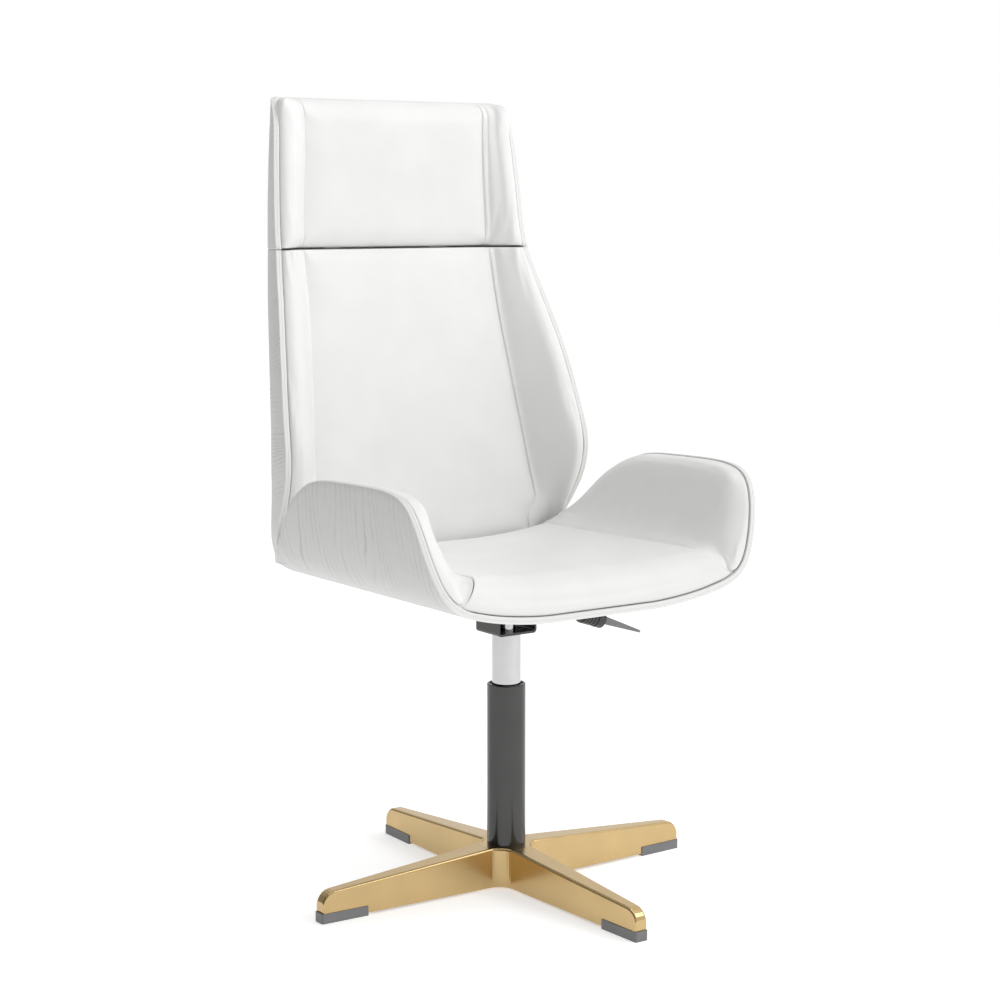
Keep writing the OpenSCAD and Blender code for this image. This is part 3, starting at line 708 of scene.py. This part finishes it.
def arm_row(form, joint, inward, gone, length):
    """From inside the joint over the nose and the rounded top, down the inner face to the seam."""
    x, y, z = joint
    iy, iz = inward
    inner = form.arm_x(z)
    width = x - inner
    radius = min(13 * MM, 0.42 * width)
    nose = min(2.2 * MM, 0.2 * width)
    row = [(x, y + iy * deep, z + iz * deep) for deep in (14 * MM, 7 * MM)]
    for a in np.radians((0, 30, 60, 90)):
        row.append((x - nose * (1 - math.cos(a)), y + iy * nose * (1 - math.sin(a)),
                    z + iz * nose * (1 - math.sin(a))))
    for t in (0.33, 0.66):
        row.append((lerp(x - nose, inner + radius, t), y, z))
    for a in np.radians((0, 15, 30, 45, 60, 75)):
        row.append((inner + radius * (1 - math.sin(a)), y + iy * radius * (1 - math.cos(a)),
                    z + iz * radius * (1 - math.cos(a))))
    turn = (math.pi / 2) * (1 - min(gone / FLARE_END, 1))
    behind = None  # where the seam runs behind the front roll
    if gone >= FLARE_END:
        behind = lerp(form.start, form.back, (gone - FLARE_END) / (length - FLARE_END))
    seam = form.seam_point(turn, behind) + SEAM_HALF * X_AXIS
    start_y, start_z = y + iy * radius, z + iz * radius
    start_u = form.arm_u(start_z)
    anchor = form.arm_point(seam.y, 0)
    leave = Vector((form.arm_x(start_z), start_y, start_z)) - form.arm_point(start_y, start_u)
    for t in np.linspace(0, 1, 30):
        p = form.arm_point(lerp(start_y, seam.y, t), lerp(start_u, 0, t))
        p += leave * (1 - smoothstep(t)) + (seam - anchor) * smoothstep(t)
        row.append(tuple(p))
    row.append(tuple(p + Vector((0.2 * MM, 0.6 * MM * math.sin(turn), -2.5 * MM))))  # into the seam
    return row


def arm_back(form, front, inward):
    """The hidden face of an arm pad, laid against the shell."""
    back = front.copy()
    count = front.shape[1]
    for r, (lip, end) in enumerate(zip(front[:, 0], front[:, -1])):
        for c in range(1, count - 1):
            p = lerp(lip, end, c / (count - 1))
            beside = (0.1, min(max(p[1], -0.235), 0.19), p[2])
            hit = ray_hit(form.shell, beside, X_AXIS)
            if hit:
                p[0] = max(hit.x - GAP, p[0])
            back[r, c] = p
        back[r, 0] = lip + np.array((0, *inward[r])) * 3 * MM
        back[r, -1] = end + np.array((0.3, 0, -2)) * MM
    return back


def arm_pad(form, wrap, name, side, materials):
    """Slab on the inside of an armrest, from the joint with the shell to the seam with the seat."""
    line, inward, travelled = arm_line(form, wrap)
    front = np.array([arm_row(form, *at, travelled[-1]) for at in zip(line, inward, travelled)])
    first = FIXED_COLUMNS
    columns = np.arange(first, front.shape[1] - 3)
    give = np.interp(travelled, np.array([0, 90, 150]) * MM, [0.8, 0.8, 0.03])[1:-1, None, None]
    give = give * np.clip((columns - first + 1) / 6, 0, 1)[None, :, None]
    for _ in range(280):
        spread = 0.25 * (front[:-2, first:-3] + front[2:, first:-3] + front[1:-1, first - 1:-4]
                         + front[1:-1, first + 1:-2])
        front[1:-1, first:-3] += give * (spread - front[1:-1, first:-3])
    back = arm_back(form, front, inward)
    front[..., 0] *= side
    back[..., 0] *= side
    piece = face_outward(closed_solid(name, front, back, [], materials))
    return plumped(piece, held_border(front, 2, 2, 6, 3), 1.5 * MM)


# ---------- finishes ----------

class Finish:
    """A procedural material, laid out as a chain of nodes."""

    def __init__(self, name, colour, metallic=0.0, roughness=0.5, **sockets):
        self.material = bpy.data.materials.new(name)
        self.material.use_nodes = True
        self.tree = self.material.node_tree
        self.shader = self.tree.nodes["Principled BSDF"]
        self.place = self.tree.nodes.new("ShaderNodeTexCoord").outputs["Object"]
        self.shader.inputs["Base Color"].default_value = (*colour, 1)
        self.shader.inputs["Metallic"].default_value = metallic
        self.shader.inputs["Roughness"].default_value = roughness
        for key, value in sockets.items():
            self.shader.inputs[key.replace("_", " ")].default_value = value
        self.height = None

    def set(self, node, values):
        for key, value in values.items():
            socket = node.inputs[key.replace("_", " ") if isinstance(key, str) else key]
            if isinstance(value, bpy.types.NodeSocket):
                self.tree.links.new(value, socket)
            else:
                socket.default_value = value
        return node

    def stretched(self, x, y, z, turn=(0, 0, 0)):
        node = self.tree.nodes.new("ShaderNodeMapping")
        self.set(node, {"Vector": self.place, "Scale": (x, y, z), "Rotation": turn})
        return node.outputs[0]

    def noise(self, vector, scale, detail=3.0, roughness=0.55, distortion=0.0):
        node = self.tree.nodes.new("ShaderNodeTexNoise")
        self.set(node, {"Vector": vector, "Scale": scale, "Detail": detail, "Roughness": roughness,
                        "Distortion": distortion})
        return node.outputs["Fac"]

    def cells(self, vector, scale, feature="DISTANCE_TO_EDGE"):
        node = self.tree.nodes.new("ShaderNodeTexVoronoi")
        node.feature = feature
        self.set(node, {"Vector": vector, "Scale": scale})
        return node.outputs["Distance"]

    def dot(self, vector, weights):
        node = self.tree.nodes.new("ShaderNodeVectorMath")
        node.operation = "DOT_PRODUCT"
        self.set(node, {0: vector, 1: tuple(weights)})
        return node.outputs["Value"]

    def math(self, operation, a, b=0.0, clamp=False):
        node = self.tree.nodes.new("ShaderNodeMath")
        node.operation = operation
        node.use_clamp = clamp
        self.set(node, {0: a, 1: b})
        return node.outputs[0]

    def ramp(self, value, *stops):
        """Piecewise value or colour along a value between 0 and 1."""
        node = self.tree.nodes.new("ShaderNodeValToRGB")
        elements = node.color_ramp.elements
        while len(elements) < len(stops):
            elements.new(0.5)
        for element, (place, tone) in zip(elements, stops):
            element.position = place
            element.color = (*tone, 1) if isinstance(tone, tuple) else (tone, tone, tone, 1)
        self.set(node, {"Fac": value})
        return node.outputs["Color"]

    def colour(self, value):
        self.tree.links.new(value, self.shader.inputs["Base Color"])
        return self

    def roughness(self, value):
        self.tree.links.new(value, self.shader.inputs["Roughness"])
        return self

    def bump(self, value, distance, strength=1.0):
        node = self.tree.nodes.new("ShaderNodeBump")
        self.set(node, {"Height": value, "Distance": distance, "Strength": strength})
        if self.height is not None:
            self.tree.links.new(self.height, node.inputs["Normal"])
        self.height = node.outputs["Normal"]
        self.tree.links.new(self.height, self.shader.inputs["Normal"])
        return self


def leather():
    f = Finish("white_leather_grain", (0.84, 0.84, 0.83), roughness=0.42, Coat_Weight=0.08,
               Coat_Roughness=0.35)
    warped = f.noise(f.place, 14, 2)
    f.colour(f.ramp(warped, (0.3, (0.845, 0.845, 0.838)), (0.7, (0.875, 0.875, 0.868))))
    pebble = f.cells(f.place, 850)
    crease = f.noise(f.place, 260, 4, 0.6)
    f.roughness(f.ramp(crease, (0.3, 0.37), (0.7, 0.47)))
    f.bump(f.noise(f.place, 9, 2), 0.6 * MM, 0.5)
    f.bump(crease, 0.10 * MM, 0.5)
    f.bump(f.ramp(pebble, (0.0, 0.0), (0.18, 1.0)), 0.06 * MM, 0.5)
    return f.material


def veneer(name, across, spacing, wander, wild, tone=1.0):
    """Painted ash: growth rings open to the touch. across is the unit direction over the grain,
    spacing the usual distance of the rings, wander how far they drift, wild their slant, and tone
    darkens the whole colour: below 1 it paints shade into a darker copy of the same ash."""
    f = Finish(name, (0.76, 0.76, 0.745), roughness=0.5)
    lean = [1.6 + 10 * abs(c) for c in across]
    long = f.stretched(*lean)
    drift = f.noise(long, 1.0, 1.5, 0.45)
    slow = f.noise(f.place, 2.2, 1, 0.4)
    phase = f.math("ADD", f.dot(f.place, [c * 2 * math.pi / spacing for c in across]),
                   f.math("ADD", f.math("MULTIPLY", drift, wander), f.math("MULTIPLY", slow, wild)))
    wave = f.math("ADD", f.math("MULTIPLY", f.math("SINE", phase), 0.5), 0.5)
    line = f.ramp(wave, (0.0, 0.0), (0.05, 0.25), (0.20, 1.0))
    shown = f.ramp(f.noise(long, 2.6, 2, 0.5), (0.38, 0.15), (0.62, 1.0))
    ring = f.math("SUBTRACT", 1.0, f.math("MULTIPLY", f.math("SUBTRACT", 1.0, line), shown))
    fibre = f.noise(f.stretched(*[3 + 60 * abs(c) for c in across]), 9, 4, 0.7)
    pores = f.ramp(fibre, (0.38, 0.0), (0.52, 1.0))
    both = f.math("ADD", f.math("MULTIPLY", ring, 0.72), f.math("MULTIPLY", pores, 0.28))
    shades = [(0.1, (0.60, 0.60, 0.59)), (0.75, (0.745, 0.745, 0.735)), (1.0, (0.77, 0.77, 0.76))]
    f.colour(f.ramp(both, *[(place, tuple(c * tone for c in shade)) for place, shade in shades]))
    f.roughness(f.ramp(fibre, (0.3, 0.54), (0.7, 0.46)))
    f.bump(both, 0.22 * MM, 0.7)
    return f.material


def ply_edge():
    f = Finish("white_ply_edge", (0.84, 0.84, 0.82), roughness=0.45)
    fine = f.noise(f.stretched(40, 40, 40), 18, 4, 0.7)
    f.colour(f.ramp(fine, (0.3, (0.80, 0.80, 0.78)), (0.7, (0.87, 0.87, 0.855))))
    f.bump(fine, 0.05 * MM, 0.6)
    return f.material


def metal(name, colour, roughness, spread, grain=700, bump=0.01, metallic=1.0, stretch=(1, 1, 1)):
    """Metal with fine uneven sheen; spread is how far the roughness wanders."""
    f = Finish(name, colour, metallic, roughness)
    long = f.stretched(*stretch)
    fine = f.noise(long, grain, 3, 0.6)
    cloud = f.noise(f.place, 16, 3, 0.55)
    mixed = f.math("ADD", f.math("MULTIPLY", fine, 0.5), f.math("MULTIPLY", cloud, 0.5))
    f.roughness(f.ramp(mixed, (0.3, roughness - spread), (0.7, roughness + spread)))
    dark = tuple(c * 0.93 for c in colour)
    light = tuple(min(c * 1.04, 1) for c in colour)
    f.colour(f.ramp(cloud, (0.3, dark), (0.7, light)))
    f.bump(fine, bump * MM, 0.6)
    return f.material


def plastic(name, colour, roughness, grain=900, bump=0.05):
    """Moulded plastic or rubber with a fine spark-eroded grain."""
    f = Finish(name, colour, 0.0, roughness)
    fine = f.noise(f.place, grain, 3, 0.6)
    cloud = f.noise(f.place, 22, 2)
    dark = tuple(c * 0.92 for c in colour)
    light = tuple(min(c * 1.08, 1) for c in colour)
    f.colour(f.ramp(cloud, (0.3, dark), (0.7, light)))
    f.roughness(f.ramp(fine, (0.3, roughness - 0.06), (0.7, roughness + 0.08)))
    f.bump(fine, bump * MM, 0.7)
    return f.material


FINISHES = {
    "gold_metal": metal("satin_gold", (0.58, 0.42, 0.205), 0.24, 0.05, 900, 0.012),
    "gunmetal": metal("dark_gunmetal", (0.080, 0.079, 0.078), 0.22, 0.04, 400, 0.01,
                      stretch=(1, 1, 0.05)),
    "chrome": metal("bright_chrome", (0.54, 0.54, 0.545), 0.07, 0.02, 300, 0.002),
    "steel": metal("zinc_steel", (0.62, 0.62, 0.61), 0.30, 0.06, 600, 0.02),
    "grey_plastic": plastic("grey_moulded", (0.19, 0.19, 0.195), 0.45),
    "black_plastic": plastic("black_moulded", (0.018, 0.018, 0.019), 0.42),
    "black_rubber": plastic("black_rubber_matt", (0.02, 0.02, 0.02), 0.75, 500, 0.08),
    "white_leather": leather(),
    "white_veneer": veneer("white_ash_shell", (0, 0.26, 0.966), 7 * MM, 60, 40),
}
LEVER_BLACK = plastic("lever_boot", (0.035, 0.035, 0.036), 0.36)
for row in frame["record"]["subparts"]:
    for place in frame["nodes"][row["node"]].material_slots:
        place.material = FINISHES[row["material_slot"]]
frame["nodes"]["lever_grip"].material_slots[0].material = LEVER_BLACK
# the seat shell's ash is the back's finish darkened to 0.87: painted shade for the arms' outer
# sides, which face away from the light
SHADED_SEAT_VENEER = veneer("white_ash_seat_painted_shade", (0, 0.985, 0.174), 14 * MM, 40, 22, 0.87)
EDGE = ply_edge()


# ---------- the pieces ----------

seat_wrap = Wrap("seat_shell", Vector((0, 0, 0.70)), Y_AXIS, -Z_AXIS, clean=-0.107)
back_wrap = Wrap("back_shell", Vector((0, 0, 0)), Z_AXIS, Y_AXIS, longer=(0, 0.8 * MM))
head_wrap = Wrap("headrest_shell", Vector((0, 0, 0)), Z_AXIS, Y_AXIS, longer=(0.8 * MM, 0),
                 corner=38 * MM)
bent_shell("seat_shell", seat_wrap, 97, 56, [SHADED_SEAT_VENEER, EDGE])
bent_shell("back_shell", back_wrap, 81, 44, [FINISHES["white_veneer"], EDGE])
bent_shell("headrest_shell", head_wrap, 41, 44, [FINISHES["white_veneer"], EDGE])

form = SeatForm()
hide = [FINISHES["white_leather"]]
back_pad = BackPad("back_cushion", back_wrap, (10 * MM, 8 * MM), (6 * MM, 6 * MM))
head_pad = BackPad("headrest_cushion", head_wrap, (20 * MM, 17 * MM), (26 * MM, 28 * MM))
PADS = {
    "back_cushion": back_pad.build("padded_back", 44, hide),
    "headrest_cushion": head_pad.build("padded_headrest", 22, hide),
    "seat_cushion": seat_pad(form, hide),
    "arm_pad_left": arm_pad(form, seat_wrap, "padded_arm_left", 1, hide),
    "arm_pad_right": arm_pad(form, seat_wrap, "padded_arm_right", -1, hide),
}
for node, piece in PADS.items():
    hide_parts(node)
    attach(piece, "seat")


# ---------- floor, light and camera ----------

def stage_floor():
    pale = Finish("pale_floor", (0.88, 0.88, 0.88), roughness=0.8,
                  Emission_Color=(1, 1, 1, 1), Emission_Strength=0.5)
    mesh = bpy.data.meshes.new("Floor")
    r = 12.0
    mesh.from_pydata([(-r, -r, 0), (r, -r, 0), (r, r, 0), (-r, r, 0)], [], [(0, 1, 2, 3)])
    mesh.materials.append(pale.material)
    floor = bpy.data.objects.new("Floor", mesh)
    bpy.context.scene.collection.objects.link(floor)


def area_light(name, place, aim, size, power, tone=(1, 1, 1)):
    data = bpy.data.lights.new(name, "AREA")
    data.shape = "RECTANGLE"
    data.size, data.size_y = size
    data.energy = power
    data.color = tone
    light = bpy.data.objects.new(name, data)
    light.location = place
    light.rotation_euler = (Vector(aim) - Vector(place)).to_track_quat("-Z", "Y").to_euler()
    bpy.context.scene.collection.objects.link(light)


def studio():
    """White where the camera sees it; as a light it is dimmer from -X, as in the photograph."""
    scene = bpy.context.scene
    scene.view_settings.view_transform = "Standard"
    world = bpy.data.worlds.new("Studio")
    scene.world = world
    world.use_nodes = True
    tree = world.node_tree
    sky = tree.nodes["Background"]
    seen = tree.nodes.new("ShaderNodeBackground")
    seen.inputs["Color"].default_value = (1, 1, 1, 1)
    mix = tree.nodes.new("ShaderNodeMixShader")
    path = tree.nodes.new("ShaderNodeLightPath")
    place = tree.nodes.new("ShaderNodeTexCoord")
    parts = tree.nodes.new("ShaderNodeSeparateXYZ")
    ramp = tree.nodes.new("ShaderNodeMapRange")
    for key, value in {"From Min": -0.8, "From Max": 0.6, "To Min": 0.16, "To Max": 0.95}.items():
        ramp.inputs[key].default_value = value
    tree.links.new(place.outputs["Generated"], parts.inputs[0])
    tree.links.new(parts.outputs["X"], ramp.inputs["Value"])
    tree.links.new(ramp.outputs[0], sky.inputs["Strength"])
    sky.inputs["Color"].default_value = (1, 1, 1, 1)
    tree.links.new(path.outputs["Is Camera Ray"], mix.inputs[0])
    tree.links.new(sky.outputs[0], mix.inputs[1])
    tree.links.new(seen.outputs[0], mix.inputs[2])
    tree.links.new(mix.outputs[0], tree.nodes["World Output"].inputs["Surface"])
    area_light("Key", (1.9, -2.3, 2.6), (0, 0, 0.6), (1.6, 1.6), 22)
    area_light("Top", (0.2, -0.4, 3.2), (0, 0, 0.5), (2.2, 2.2), 20)


def camera():
    """The photograph's viewpoint, from a perspective fit."""
    azimuth, pitch, distance = math.radians(-35.05), math.radians(7.75), 3.362
    aim = Vector((-8.0, 5.6, 605.7)) * MM
    away = Vector((math.sin(azimuth) * math.cos(pitch), -math.cos(azimuth) * math.cos(pitch),
                   math.sin(pitch)))
    data = bpy.data.cameras.new("Camera")
    data.sensor_width = 36
    data.lens = 78.97
    viewer = bpy.data.objects.new("Camera", data)
    viewer.location = aim + away * distance
    viewer.rotation_euler = (-away).to_track_quat("-Z", "Y").to_euler()
    bpy.context.scene.collection.objects.link(viewer)
    bpy.context.scene.camera = viewer


stage_floor()
studio()
camera()
